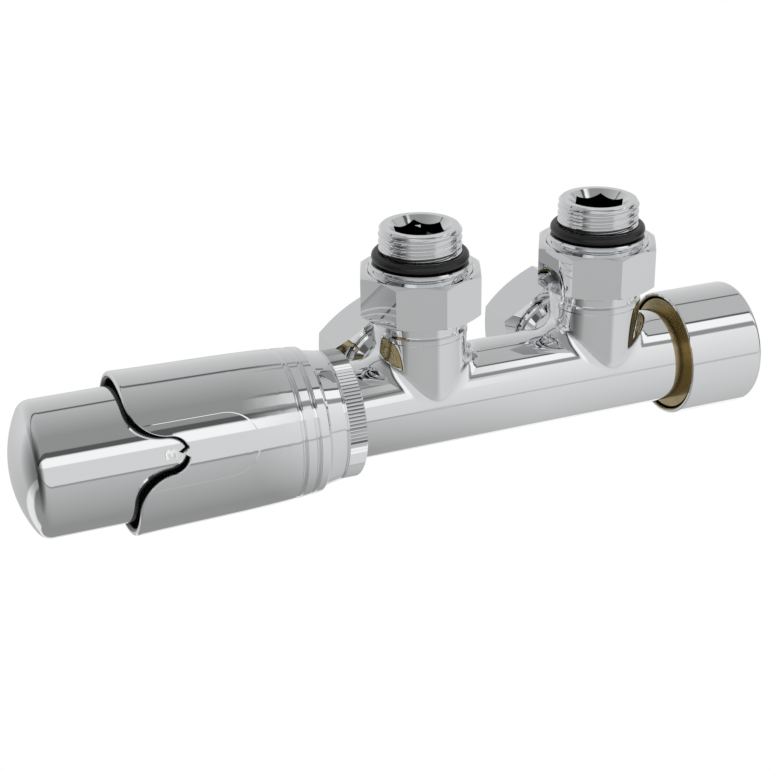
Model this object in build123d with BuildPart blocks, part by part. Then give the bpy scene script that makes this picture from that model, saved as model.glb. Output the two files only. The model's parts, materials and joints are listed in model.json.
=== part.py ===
# Radiator valve multiblock with sensor head, 50 mm connections
# Frame: origin on the cross tube's axis, midway between the two radiator connections.
# +X runs along the tube to the return side, -X to the head, +Y to the wall, +Z up to the radiator.
import os
from math import cos, pi, radians, sin, sqrt

from build123d import *

os.makedirs("parts", exist_ok=True)

# Driving dimensions in mm

# Clearances
running_clear = 0.07
seat_clear = 0.05
body_clear = 0.30

# Cross tube and its two ends
connection_pitch = 50.0
tube_r = 12.5
tube_end = 56.0
end_thread_r = 14.90
end_thread_len = 9.0
insert_bore_r = 9.0
insert_bore_end = 20.0
tip_bore_r = 8.0
tip_bore_end = 9.0
insert_flange_r = 11.2
insert_flange_t = 1.5

# Branches to the radiator
stub_r = 11.7
shoulder_r = 11.9
shoulder_low = 19.2
shoulder_high = 21.2
neck_r = 11.2
neck_top = 29.4
stub_blend = 4.2
radiator_bore_r = 7.5
radiator_bore_floor = 14.0
cross_passage_r = 2.6
cross_passage_top = 17.0
cross_passage_shift = 5.5
cross_passage_foot = 10.5

# Branches to the wall
wall_stub_end = 17.0
union_thread_r = 13.12
wall_thread_end = 27.6
thread_pitch = 1.814
thread_depth = 1.0
pipe_socket_r = 7.6
pipe_stop = 15.6
wall_bore_r = 5.5
mouth_r = 9.9
mouth_depth = 3.5

# Octagon union nuts and hexagon wall nuts
nut_across_flats = 30.0
union_nut_sides = 8
pipe_nut_sides = 6
nut_chamfer = 0.9
union_nut_low = 24.6
union_nut_high = 36.2
union_lip_t = 2.2
union_nut_turn = (0.5, 39.5)
pipe_nut_start = 20.0
pipe_nut_end = 35.6
pipe_nut_turn = (27.0, 25.0)
pipe_nut_face_r = 14.4
pipe_nut_front_chamfer = 1.6
pipe_nut_back_chamfer = 2.1
pipe_nut_hole_r = 8.2

# Snap rings and gaskets inside the union nuts
snap_ring_t = 1.2
snap_ring_groove = 0.7
snap_ring_w = 1.9
gasket_t = 1.6
gasket_bore_r = 8.0

# Radiator nipples
nipple_thread_r = 10.4775
nipple_top = 47.25
nipple_thread_chamfer = 0.75
groove_r = 9.7
ring_section_r = 1.25
ring_centre_r = 11.0
collar_r = 12.8
collar_t = 0.95
undercut_r = 12.0
undercut_t = 1.3
key_flats = 12.0
key_depth = 9.0
key_sink = 1.9
nipple_bore_r = 5.8
key_turn = (20.4, -3.0)

# Pipe sealing set inside each wall nut
seal_bore_r = 7.65
cone_nose_len = 2.8
cone_flange_r = 10.6
cone_flange_t = 1.5
cone_ring_r = 0.6
cone_ring_groove = 1.8
clamp_len = 5.2
clamp_slit = 20.0

# Head sleeve
sleeve_left = -104.7
sleeve_right = -56.4
sleeve_r_left = 20.4
sleeve_r_mid = 19.95
sleeve_r_shoulder = 19.28
sleeve_r_end = 18.55
sleeve_mid_x = -88.0
sleeve_shoulder_x = -66.0
sleeve_bore_r = 18.5
sleeve_bore_end = -74.0
sleeve_seat_r = 17.5
sleeve_neck_r = 16.6
sleeve_lip = 0.8
sleeve_end_round = 0.6
groove_centres = (-63.3, -59.6)
sleeve_groove_r = 0.75
sleeve_groove_d = 0.65

# Window in the sleeve's rim, with its pointer tooth
window_angle = 19.2
window_half = 4.6
window_end = -91.6
window_flare_shift = 1.0
tooth_len = 1.8
tooth_half = 1.3

# Knob
knob_r = 16.87
knob_wall = 1.67
knob_edge = -125.97
knob_dome_r = 30.0
knob_edge_round = 3.6
knob_right = -72.0
knob_rib_right = -88.2
knob_rib_t = 1.6

# Head base
base_left = -112.0
base_tube_r = 13.4
base_bore_r = 11.2
base_web_x = -71.5
base_web_t = 1.5
base_socket_r = 9.3
base_neck_r = 12.3
base_collar_r = 14.7
base_collar_t = 1.0
base_disc_t = 3.0
lug_count = 3
lug_w = 3.8
lug_slot_end = -94.0
knob_clip_t = 1.0
knob_clip_groove = 0.6
knob_clip_w = 1.75
clip_gap = 30.0

# Ring nut that holds the head, and its clip on the head base
ring_nut_right = -46.1
knurl_w = 4.7
knurl_r = 16.45
knurl_depth = 0.4
knurl_count = 110
knurl_edge = 0.35
ring_cone_r = 17.5
ring_cone_right = -51.8
ring_rim_r = 16.75
ring_groove_d = 0.4
ring_neck_r = 16.1
ring_hook_t = 2.0
ring_hook_r = 12.9
ring_clip_t = 1.2
ring_clip_groove = 0.7
ring_clip_w = 2.85
ring_clip_edge = 0.6

# Sensor train
carrier_left = -108.0
carrier_web = 2.0
carrier_lug_len = 6.0
carrier_skirt_r = 11.0
carrier_skirt_wall = 1.0
carrier_len = 16.0
lug_r = 14.9
sensor_r = 9.9
sensor_left = -96.0
sensor_len = 21.5
stem_r = 3.0
overload_spring_r = 7.4
overload_wire_r = 0.7
overload_turns = 3.5

# Control insert
housing_end = 38.0
housing_bore_r = 5.6
housing_web_t = 1.5
housing_ring_x = 41.5
housing_ring_r = 0.85
pin_r = 1.5
pin_tip = -68.8
gland_tip = -65.0
gland_nose_r = 4.5
gland_nose_len = 3.0
gland_flats = 13.0
gland_hex_right = -56.6
gland_thread_right = -51.0
gland_ring_x = -60.0
gland_ring_r = 0.6
spindle_collar_x = -49.6
spindle_collar_t = 1.0
spindle_collar_r = 4.6
opening_spring_r = 3.6
opening_wire_r = 0.45
opening_turns = 4.5
cage_r = 7.2
cage_nose_r = 7.9
cage_end = -17.4
cage_window_w = 6.0
cage_window_left = -33.0
cage_window_right = -25.5
cage_ring_x = -18.8
cage_ring_r = 0.62
seat_x = -21.5
seat_hole_r = 4.4
seat_lip = 0.5
disc_r = 5.3
disc_t = 1.4
washer_t = 1.0
washer_r = 5.15
valve_lift = 1.0

# Return insert
return_lift = 1.55
return_screw_r = 5.5
return_plain_r = 5.3
return_plain_start = 39.6
return_thread_start = 45.0
return_screw_end = 52.0
return_stem_r = 3.6
return_key_flats = 6.0
return_key_depth = 6.0
return_disc_r = 8.5
return_disc_t = 1.6
return_washer_t = 1.2
return_washer_r = 8.35
return_ring_x = 42.2
return_ring_r = 0.65
stop_ring_x = 54.0
stop_ring_t = 0.9
stop_ring_w = 1.0
stop_ring_groove = 0.5

# Cap over the return insert
cap_start = 46.3
cap_end = 68.0
cap_r = 16.6
cap_bore_r = 15.6
cap_end_wall = 2.6
cap_round = 1.5
cap_ring_x = 52.0
cap_ring_r = 0.95
cap_ring_groove = 1.35

# Places worked out from the sizes above
side_x = (-connection_pitch / 2, connection_pitch / 2)
side_name = ("left", "right")
end_thread_start = tube_end - end_thread_len
nut_thread_r = union_thread_r + running_clear
lip_bore_r = neck_r + running_clear
nipple_bottom = neck_top + gasket_t
groove_low = nipple_top - 9.2
groove_high = groove_low + 2 * ring_section_r + 0.1
ring_centre_z = (groove_low + groove_high) / 2
collar_low = groove_low - collar_t
undercut_low = collar_low - undercut_t
snap_ring_low = union_nut_low + union_lip_t + 0.2


def half_plane(x):
    """Plane through a branch's vertical axis: local x points along +X, local y up."""
    return Plane(origin=(x, 0, 0), x_dir=(1, 0, 0), z_dir=(0, -1, 0))


def wall_plane(x):
    """Plane through a wall branch's axis: local x points along +X, local y to the wall."""
    return Plane(origin=(x, 0, 0), x_dir=(1, 0, 0), z_dir=(0, 0, 1))


def turn_profile(points, plane, axis, mode=Mode.ADD, arc=360):
    """Turn a closed outline of (radius or length) points about an axis."""
    with BuildSketch(plane) as profile:
        with BuildLine():
            Polyline(*points, close=True)
        make_face()
    revolve(profile.sketch, axis=axis, revolution_arc=arc, mode=mode)


def turn_along_x(points, mode=Mode.ADD, arc=360):
    """Turn (x, radius) points about the tube's axis."""
    turn_profile(points, Plane.XY, Axis.X, mode, arc)


def turn_up(x, points, mode=Mode.ADD, arc=360):
    """Turn (radius, z) points about a branch's vertical axis."""
    turn_profile(points, half_plane(x), Axis((x, 0, 0), (0, 0, 1)), mode, arc)


def turn_to_wall(x, points, mode=Mode.ADD, arc=360):
    """Turn (radius, y) points about a wall branch's axis."""
    turn_profile(points, wall_plane(x), Axis((x, 0, 0), (0, 1, 0)), mode, arc)


def bar(x0, x1, radius, mode=Mode.ADD):
    """Round bar along the tube's axis from x0 to x1."""
    turn_along_x([(x0, 0), (x1, 0), (x1, radius), (x0, radius)], mode)


def ring_on_x(x, centre_r, section_r):
    """Round-section ring about the tube's axis."""
    with BuildSketch(Plane.XY) as section:
        with Locations((x, centre_r)):
            Circle(section_r)
    revolve(section.sketch, axis=Axis.X)


def ring_groove(x, section_r, surface_r, depth):
    """Cut the groove for a round-section ring into a surface about the tube's axis."""
    half = section_r + 0.05
    turn_along_x([(x - half, surface_r - depth), (x + half, surface_r - depth),
                  (x + half, surface_r + 1), (x - half, surface_r + 1)], Mode.SUBTRACT)


def coil(x0, x1, mean_r, wire_r, turns):
    """Coil spring along the tube's axis between two faces."""
    height = x1 - x0 - 2 * wire_r
    with BuildLine() as path:
        Helix(height / turns, height, mean_r, center=(x0 + wire_r, 0, 0), direction=(1, 0, 0))
    with BuildSketch(Plane(origin=path.line @ 0, z_dir=path.line % 0)) as wire:
        Circle(wire_r)
    sweep(wire.sketch, path=path.line)


def finish(piece, name):
    """Label a finished piece and write it."""
    piece.part.label = name
    export_step(piece.part, f"parts/{name}.step")


# Valve body: cross tube, two branches up to the radiator, two back to the wall
with BuildPart() as valve_body:
    bar(-tube_end, tube_end, tube_r)
    for x in side_x:
        turn_up(x, [(0, 0), (stub_r, 0), (stub_r, shoulder_low), (0, shoulder_low)])
        turn_to_wall(x, [(0, 0), (stub_r, 0), (stub_r, wall_stub_end), (0, wall_stub_end)])
    blends = valve_body.edges().filter_by(lambda e: e.geom_type not in (GeomType.LINE, GeomType.CIRCLE))
    fillet(blends, stub_blend)
    for side in (-1, 1):
        turn_along_x([
            (side * tube_end, 0),
            (side * tube_end, end_thread_r - 0.8),
            (side * (tube_end - 0.8), end_thread_r),
            (side * end_thread_start, end_thread_r),
            (side * end_thread_start, 0),
        ])
    for x in side_x:
        turn_up(x, [
            (0, shoulder_low - 1), (stub_r - 0.25, shoulder_low - 1), (stub_r - 0.25, shoulder_low),
            (shoulder_r, shoulder_low + 0.3), (shoulder_r, shoulder_high - 0.5),
            (shoulder_r - 0.5, shoulder_high), (neck_r, shoulder_high), (neck_r, neck_top), (0, neck_top),
        ])
        turn_to_wall(x, [
            (0, wall_stub_end - 1), (stub_r, wall_stub_end - 1), (union_thread_r, wall_stub_end + 0.4),
            (union_thread_r, wall_thread_end - 1), (union_thread_r - 1, wall_thread_end),
            (0, wall_thread_end),
        ])
    # Seat for each insert's flange, insert bore, tip bore
    for side in (-1, 1):
        bar(side * (tube_end - insert_flange_t), side * (tube_end + 1), insert_flange_r + seat_clear,
            Mode.SUBTRACT)
        bar(side * insert_bore_end, side * tube_end, insert_bore_r, Mode.SUBTRACT)
        bar(side * tip_bore_end, side * insert_bore_end, tip_bore_r, Mode.SUBTRACT)
    for x in side_x:
        inward = -1 if x > 0 else 1
        # Snap ring groove and radiator bore
        turn_up(x, [
            (neck_r - snap_ring_groove, snap_ring_low - seat_clear), (neck_r + 1, snap_ring_low - seat_clear),
            (neck_r + 1, snap_ring_low + snap_ring_t + seat_clear),
            (neck_r - snap_ring_groove, snap_ring_low + snap_ring_t + seat_clear),
        ], Mode.SUBTRACT)
        turn_up(x, [(0, radiator_bore_floor), (radiator_bore_r, radiator_bore_floor),
                    (radiator_bore_r, neck_top + 1), (0, neck_top + 1)], Mode.SUBTRACT)
        # Cast passage from the radiator bore down past the valve seat
        top = Vector(x + inward * cross_passage_shift, 0, cross_passage_top)
        foot = Vector(-inward * cross_passage_foot, 0, 0)
        with BuildSketch(Plane(origin=foot, z_dir=top - foot)):
            Circle(cross_passage_r)
        extrude(amount=(top - foot).length, mode=Mode.SUBTRACT)
        # Turns of the wall thread that show in front of the nut
        turns = int((pipe_nut_start - wall_stub_end - 0.4) / thread_pitch)
        for turn in range(turns):
            root = wall_stub_end + 0.4 + (turn + 0.75) * thread_pitch
            turn_to_wall(x, [(union_thread_r - thread_depth, root),
                             (union_thread_r + 0.1, root + 0.36 * thread_pitch),
                             (union_thread_r + 0.1, root - 0.36 * thread_pitch)], Mode.SUBTRACT)
        # Pipe socket with its sealing mouth, and the bore into the insert chamber
        turn_to_wall(x, [
            (0, 0), (wall_bore_r, 0), (wall_bore_r, pipe_stop), (pipe_socket_r, pipe_stop),
            (pipe_socket_r, wall_thread_end - mouth_depth - 1.5),
            (mouth_r - 1.2, wall_thread_end - mouth_depth),
            (mouth_r, wall_thread_end), (mouth_r, wall_thread_end + 1), (0, wall_thread_end + 1),
        ], Mode.SUBTRACT)
    ring_groove(cap_ring_x, cap_ring_r, end_thread_r, cap_ring_groove)
finish(valve_body, "valve_body")

# Radiator nipples, one per side: nut thread below, ring groove, radiator thread and key socket above
for x, side, turn in zip(side_x, side_name, key_turn):
    with BuildPart() as nipple:
        turn_up(x, [
            (0, nipple_bottom), (union_thread_r - 0.8, nipple_bottom), (union_thread_r, nipple_bottom + 0.8),
            (union_thread_r, undercut_low), (undercut_r, undercut_low + 0.4), (undercut_r, collar_low),
            (collar_r - 0.2, collar_low), (collar_r, collar_low + 0.2),
            (collar_r, groove_low - 0.2), (collar_r - 0.2, groove_low), (groove_r, groove_low),
            (groove_r, groove_high), (nipple_thread_r, groove_high),
            (nipple_thread_r, nipple_top - nipple_thread_chamfer),
            (nipple_thread_r - nipple_thread_chamfer, nipple_top), (0, nipple_top),
        ])
        bore_bottom = nipple_top - key_depth
        turn_up(x, [(0, nipple_bottom - 1), (nipple_bore_r, nipple_bottom - 1),
                    (nipple_bore_r, bore_bottom + 1), (0, bore_bottom + 1)], Mode.SUBTRACT)
        with BuildSketch(Plane(origin=(x, 0, bore_bottom), z_dir=(0, 0, 1))):
            RegularPolygon(key_flats / 2, 6, major_radius=False, rotation=turn)
        extrude(amount=key_depth + 1, mode=Mode.SUBTRACT)
        sink_r = key_flats / 2 + key_sink
        turn_up(x, [(0, nipple_top - key_sink), (sink_r - key_sink, nipple_top - key_sink),
                    (sink_r, nipple_top), (sink_r, nipple_top + 1), (0, nipple_top + 1)], Mode.SUBTRACT)
    finish(nipple, f"radiator_nipple_{side}")

    with BuildPart() as nipple_ring:
        with BuildSketch(half_plane(x)):
            with Locations((ring_centre_r, ring_centre_z)):
                Circle(ring_section_r)
        revolve(axis=Axis((x, 0, 0), (0, 0, 1)))
    finish(nipple_ring, f"nipple_seal_ring_{side}")

# Union nuts: octagon outside, thread bore, and a lip that runs on the branch's neck
for x, side, turn in zip(side_x, side_name, union_nut_turn):
    with BuildPart() as union_nut:
        with BuildSketch(Plane(origin=(x, 0, union_nut_low), z_dir=(0, 0, 1))):
            RegularPolygon(nut_across_flats / 2, union_nut_sides, major_radius=False, rotation=turn)
        extrude(amount=union_nut_high - union_nut_low)
        corner_r = nut_across_flats / 2 / cos(pi / union_nut_sides)
        over = corner_r + 2
        flat_r = nut_across_flats / 2 - 0.2
        slope = (over - flat_r) * nut_chamfer / (corner_r - flat_r)
        turn_up(x, [(flat_r, union_nut_high), (over, union_nut_high - slope), (over, union_nut_high + 1),
                    (flat_r, union_nut_high + 1)], Mode.SUBTRACT)
        turn_up(x, [(flat_r, union_nut_low), (over, union_nut_low + slope), (over, union_nut_low - 1),
                    (flat_r, union_nut_low - 1)], Mode.SUBTRACT)
        turn_up(x, [
            (0, union_nut_low - 1), (lip_bore_r + 0.4, union_nut_low - 1), (lip_bore_r + 0.4, union_nut_low),
            (lip_bore_r, union_nut_low + 0.4), (lip_bore_r, union_nut_low + union_lip_t),
            (nut_thread_r, union_nut_low + union_lip_t), (nut_thread_r, union_nut_high - 0.5),
            (nut_thread_r + 0.5, union_nut_high), (nut_thread_r + 0.5, union_nut_high + 1),
            (0, union_nut_high + 1),
        ], Mode.SUBTRACT)
    finish(union_nut, f"union_nut_{side}")

    with BuildPart() as snap_ring:
        inner = neck_r - snap_ring_groove + seat_clear
        turn_up(x, [(inner, snap_ring_low), (inner + snap_ring_w, snap_ring_low),
                    (inner + snap_ring_w, snap_ring_low + snap_ring_t), (inner, snap_ring_low + snap_ring_t)],
                arc=325)
    finish(snap_ring, f"union_snap_ring_{side}")

    with BuildPart() as gasket:
        rim = union_thread_r - 0.4
        turn_up(x, [(gasket_bore_r, neck_top), (rim, neck_top), (rim, nipple_bottom),
                    (gasket_bore_r, nipple_bottom)])
    finish(gasket, f"union_gasket_{side}")

# Wall nuts with the clamp ring, sealing cone and ring that grip a pipe
for x, side, turn in zip(side_x, side_name, pipe_nut_turn):
    flange_y = wall_thread_end + 0.3
    clamp_y = flange_y + cone_flange_t
    clamp_end = clamp_y + clamp_len
    with BuildPart() as pipe_nut:
        with BuildSketch(Plane(origin=(x, pipe_nut_start, 0), x_dir=(1, 0, 0), z_dir=(0, 1, 0))):
            RegularPolygon(nut_across_flats / 2, pipe_nut_sides, major_radius=False, rotation=turn)
        extrude(amount=pipe_nut_end - pipe_nut_start)
        corner_r = nut_across_flats / 2 / cos(pi / pipe_nut_sides)
        turn_to_wall(x, [
            (pipe_nut_face_r, pipe_nut_start), (corner_r, pipe_nut_start + pipe_nut_front_chamfer),
            (corner_r + 1, pipe_nut_start + pipe_nut_front_chamfer), (corner_r + 1, pipe_nut_start - 1),
            (pipe_nut_face_r, pipe_nut_start - 1),
        ], Mode.SUBTRACT)
        turn_to_wall(x, [
            (pipe_nut_face_r, pipe_nut_end), (corner_r, pipe_nut_end - pipe_nut_back_chamfer),
            (corner_r + 1, pipe_nut_end - pipe_nut_back_chamfer), (corner_r + 1, pipe_nut_end + 1),
            (pipe_nut_face_r, pipe_nut_end + 1),
        ], Mode.SUBTRACT)
        turn_to_wall(x, [
            (0, pipe_nut_start - 1), (nut_thread_r + 0.5, pipe_nut_start - 1),
            (nut_thread_r + 0.5, pipe_nut_start), (nut_thread_r, pipe_nut_start + 0.5),
            (nut_thread_r, clamp_y), (cone_flange_r + 0.5, clamp_y + 0.5),
            (pipe_nut_hole_r + 0.4, clamp_end + 0.2), (pipe_nut_hole_r, clamp_end + 0.2),
            (pipe_nut_hole_r, pipe_nut_end + 1), (0, pipe_nut_end + 1),
        ], Mode.SUBTRACT)
    finish(pipe_nut, f"pipe_nut_{side}")

    nose_y = wall_thread_end - cone_nose_len
    ring_y = wall_thread_end - 1.2
    with BuildPart() as sealing_cone:
        turn_to_wall(x, [
            (seal_bore_r, nose_y), (mouth_r - 1.45, nose_y), (mouth_r - 0.9, ring_y - cone_ring_r - 0.1),
            (mouth_r - cone_ring_groove, ring_y - cone_ring_r - 0.1),
            (mouth_r - cone_ring_groove, ring_y + cone_ring_r + 0.1),
            (mouth_r - 0.3, ring_y + cone_ring_r + 0.1), (mouth_r - 0.3, flange_y), (cone_flange_r, flange_y),
            (cone_flange_r, clamp_y), (seal_bore_r, clamp_y),
        ])
    finish(sealing_cone, f"sealing_cone_{side}")

    with BuildPart() as cone_ring:
        with BuildSketch(wall_plane(x)):
            with Locations((mouth_r - cone_ring_groove + cone_ring_r, ring_y)):
                Circle(cone_ring_r - 0.02)
        revolve(axis=Axis((x, 0, 0), (0, 1, 0)))
    finish(cone_ring, f"sealing_cone_ring_{side}")

    with BuildPart() as clamp_ring:
        turn_to_wall(x, [
            (seal_bore_r, clamp_y), (cone_flange_r - 0.6, clamp_y), (cone_flange_r - 0.6, clamp_y + 0.6),
            (pipe_nut_hole_r + 0.35, clamp_end - 0.2), (seal_bore_r, clamp_end - 0.2),
        ], arc=360 - clamp_slit)
    finish(clamp_ring, f"clamp_ring_{side}")

# Ring nut of the head: knurled band, rim, plain cone, and a hook behind the clip
clip_left = -tube_end - ring_clip_edge - ring_clip_t
hook_right = clip_left - seat_clear
ring_nut_left = hook_right - ring_hook_t
cone_left = sleeve_right + body_clear
knurl_left = ring_nut_right - knurl_w
with BuildPart() as ring_nut:
    turn_along_x([
        (ring_nut_left, 0), (ring_nut_left, ring_neck_r), (cone_left, ring_neck_r),
        (cone_left, ring_cone_r - 0.3), (cone_left + 0.3, ring_cone_r), (ring_cone_right, ring_rim_r),
        (ring_cone_right + 0.15, ring_rim_r - ring_groove_d), (ring_cone_right + 0.5, ring_rim_r - ring_groove_d),
        (ring_cone_right + 0.65, ring_rim_r - 0.1), (knurl_left - 0.1, ring_rim_r - 0.1),
        (knurl_left, ring_rim_r - 0.2), (knurl_left, 0),
    ])
    step = 2 * pi / knurl_count
    tips = [((knurl_r * cos(i * step), knurl_r * sin(i * step)),
             ((knurl_r - knurl_depth) * cos((i + 0.5) * step), (knurl_r - knurl_depth) * sin((i + 0.5) * step)))
            for i in range(knurl_count)]
    with BuildSketch(Plane(origin=(knurl_left, 0, 0), x_dir=(0, 1, 0), z_dir=(1, 0, 0))):
        with BuildLine():
            Polyline(*[point for pair in tips for point in pair], close=True)
        make_face()
    extrude(amount=knurl_w)
    turn_along_x([(ring_nut_right - knurl_edge, knurl_r + 0.05), (ring_nut_right, knurl_r - knurl_edge),
                  (ring_nut_right + 1, knurl_r - knurl_edge), (ring_nut_right + 1, knurl_r + 0.05)],
                 Mode.SUBTRACT)
    bar(ring_nut_left - 1, hook_right, ring_hook_r, Mode.SUBTRACT)
    bar(hook_right, ring_nut_right + 1, end_thread_r + running_clear, Mode.SUBTRACT)
    turn_along_x([(ring_nut_right - 0.8, 0), (ring_nut_right - 0.8, end_thread_r + running_clear),
                  (ring_nut_right, end_thread_r + running_clear + 0.6),
                  (ring_nut_right + 1, end_thread_r + running_clear + 0.6), (ring_nut_right + 1, 0)],
                 Mode.SUBTRACT)
finish(ring_nut, "ring_nut")

with BuildPart() as ring_clip:
    inner = base_neck_r - ring_clip_groove + seat_clear
    turn_along_x([(clip_left, inner), (clip_left + ring_clip_t, inner),
                  (clip_left + ring_clip_t, inner + ring_clip_w), (clip_left, inner + ring_clip_w)],
                 arc=360 - clip_gap)
finish(ring_clip, "ring_nut_clip")

# Head base: socket over the valve, disc that carries the sleeve, slotted tube that guides the sensor
knob_rib_left = knob_rib_right - knob_rib_t
collar_left = knob_rib_right + running_clear
clip_right = knob_rib_left - running_clear
lug_slot_w = lug_w + 2 * 0.1
with BuildPart() as head_base:
    turn_along_x([
        (base_left, 0), (base_left, base_tube_r), (collar_left, base_tube_r), (collar_left, base_collar_r),
        (collar_left + base_collar_t, base_collar_r), (collar_left + base_collar_t, base_tube_r),
        (sleeve_shoulder_x - base_disc_t, base_tube_r),
        (sleeve_shoulder_x - base_disc_t, sleeve_seat_r - seat_clear),
        (sleeve_shoulder_x, sleeve_seat_r - seat_clear), (sleeve_shoulder_x, base_neck_r),
        (-tube_end, base_neck_r), (-tube_end, 0),
    ])
    bar(base_left - 1, base_web_x, base_bore_r, Mode.SUBTRACT)
    bar(base_web_x - 1, base_web_x + base_web_t + 1, stem_r + running_clear, Mode.SUBTRACT)
    bar(base_web_x + base_web_t, -tube_end + 1, base_socket_r, Mode.SUBTRACT)
    turn_along_x([
        (clip_left - seat_clear, base_neck_r - ring_clip_groove), (clip_left - seat_clear, base_neck_r + 1),
        (clip_left + ring_clip_t + seat_clear, base_neck_r + 1),
        (clip_left + ring_clip_t + seat_clear, base_neck_r - ring_clip_groove),
    ], Mode.SUBTRACT)
    turn_along_x([
        (clip_right - knob_clip_t - seat_clear, base_tube_r - knob_clip_groove),
        (clip_right - knob_clip_t - seat_clear, base_tube_r + 1),
        (clip_right + seat_clear, base_tube_r + 1), (clip_right + seat_clear, base_tube_r - knob_clip_groove),
    ], Mode.SUBTRACT)
    # Slots that keep the sensor carrier from turning
    with BuildSketch(Plane(origin=(base_left - 1, 0, 0), x_dir=(0, 1, 0), z_dir=(1, 0, 0))):
        with PolarLocations((base_bore_r + base_tube_r) / 2, lug_count):
            Rectangle(2 * (base_tube_r - base_bore_r) + 1, lug_slot_w)
    extrude(amount=lug_slot_end - base_left + 1, mode=Mode.SUBTRACT)
finish(head_base, "head_base")

# Outer sleeve: tapered shell with two grooves, and a flared window with a pointer tooth in its rim
with BuildPart() as outer_sleeve:
    with BuildSketch(Plane.XY):
        with BuildLine():
            outside = Spline((sleeve_left, sleeve_r_left), (sleeve_mid_x, sleeve_r_mid),
                             (sleeve_shoulder_x, sleeve_r_shoulder), (sleeve_right, sleeve_r_end))
            Polyline(outside @ 1, (sleeve_right, sleeve_neck_r), (sleeve_shoulder_x, sleeve_neck_r),
                     (sleeve_shoulder_x, sleeve_seat_r), (sleeve_bore_end, sleeve_seat_r),
                     (sleeve_bore_end, sleeve_bore_r), (sleeve_left, sleeve_bore_r), outside @ 0)
        make_face()
    revolve(axis=Axis.X)
    rim = outer_sleeve.edges().filter_by(GeomType.CIRCLE).group_by(Axis.X)[0]
    fillet(rim, sleeve_lip)
    fillet(outer_sleeve.edges().filter_by(GeomType.CIRCLE).group_by(Axis.X)[-1].sort_by(SortBy.RADIUS)[-1],
           sleeve_end_round)
    for centre in groove_centres:
        reach = (centre - sleeve_right) / (sleeve_shoulder_x - sleeve_right)
        surface = sleeve_r_end + reach * (sleeve_r_shoulder - sleeve_r_end)
        with BuildSketch(Plane.XY):
            with Locations((centre, surface - sleeve_groove_d + sleeve_groove_r)):
                Circle(sleeve_groove_r)
        revolve(axis=Axis.X, mode=Mode.SUBTRACT)
    # Finger-shaped window: round inner end, two flares tangent to it and to the rim
    tilt = radians(window_angle)
    window_plane = Plane(origin=(0, 0, 0), x_dir=(1, 0, 0), z_dir=(0, -cos(tilt), sin(tilt)))
    centre_x = window_end - window_half
    flare_x = centre_x + window_flare_shift
    flare_r = flare_x - sleeve_left
    flare_y = sqrt((window_half + flare_r) ** 2 - window_flare_shift ** 2)
    share = window_half / (window_half + flare_r)
    touch = (centre_x + share * window_flare_shift, share * flare_y)
    middle = (flare_x - flare_r * cos(pi / 4), flare_y - flare_r * sin(pi / 4))
    outer_x = sleeve_left - 2
    with BuildSketch(window_plane):
        with BuildLine():
            ThreePointArc((sleeve_left, flare_y), middle, touch)
            ThreePointArc(touch, (window_end, 0), (touch[0], -touch[1]))
            ThreePointArc((touch[0], -touch[1]), (middle[0], -middle[1]), (sleeve_left, -flare_y))
            Polyline((sleeve_left, -flare_y), (outer_x, -flare_y), (outer_x, flare_y), (sleeve_left, flare_y))
        make_face()
        with BuildLine():
            Polyline((window_end - tooth_len, 0), (window_end + 0.5, tooth_half * (tooth_len + 0.5) / tooth_len),
                     (window_end + 0.5, -tooth_half * (tooth_len + 0.5) / tooth_len), close=True)
        make_face(mode=Mode.SUBTRACT)
    extrude(amount=sleeve_r_left + 5, mode=Mode.SUBTRACT)
finish(outer_sleeve, "outer_sleeve")

# Knob: domed end, long skirt inside the sleeve, and a rib that runs between collar and clip
with BuildPart() as knob:
    drop = knob_dome_r - sqrt(knob_dome_r ** 2 - knob_r ** 2)
    apex = knob_edge - drop
    dome_x = apex + knob_dome_r
    bore_r = knob_r - knob_wall
    inner_dome_r = knob_dome_r - knob_wall
    inner_edge = dome_x - sqrt(inner_dome_r ** 2 - bore_r ** 2)
    for edge, radius, sphere, bend, mode in (
            (knob_edge, knob_r, knob_dome_r, knob_edge_round, Mode.ADD),
            (inner_edge, bore_r, inner_dome_r, knob_edge_round - knob_wall, Mode.SUBTRACT)):
        half_r = radius / 2
        with BuildSketch(Plane.XY) as profile:
            with BuildLine():
                Polyline((dome_x - sphere, 0), (knob_right, 0), (knob_right, radius), (edge, radius))
                ThreePointArc((edge, radius), (dome_x - sqrt(sphere ** 2 - half_r ** 2), half_r),
                              (dome_x - sphere, 0))
            make_face()
            fillet(profile.vertices().group_by(Axis.Y)[-1].sort_by(Axis.X)[0], bend)
        revolve(axis=Axis.X, mode=mode)
    turn_along_x([
        (knob_rib_left, base_tube_r + running_clear), (knob_rib_right, base_tube_r + running_clear),
        (knob_rib_right, bore_r + 0.3), (knob_rib_left, bore_r + 0.3),
    ])
finish(knob, "knob")

with BuildPart() as knob_clip:
    inner = base_tube_r - knob_clip_groove + seat_clear
    turn_along_x([(clip_right - knob_clip_t, inner), (clip_right, inner),
                  (clip_right, inner + knob_clip_w), (clip_right - knob_clip_t, inner + knob_clip_w)],
                 arc=360 - clip_gap)
finish(knob_clip, "knob_clip")

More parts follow.
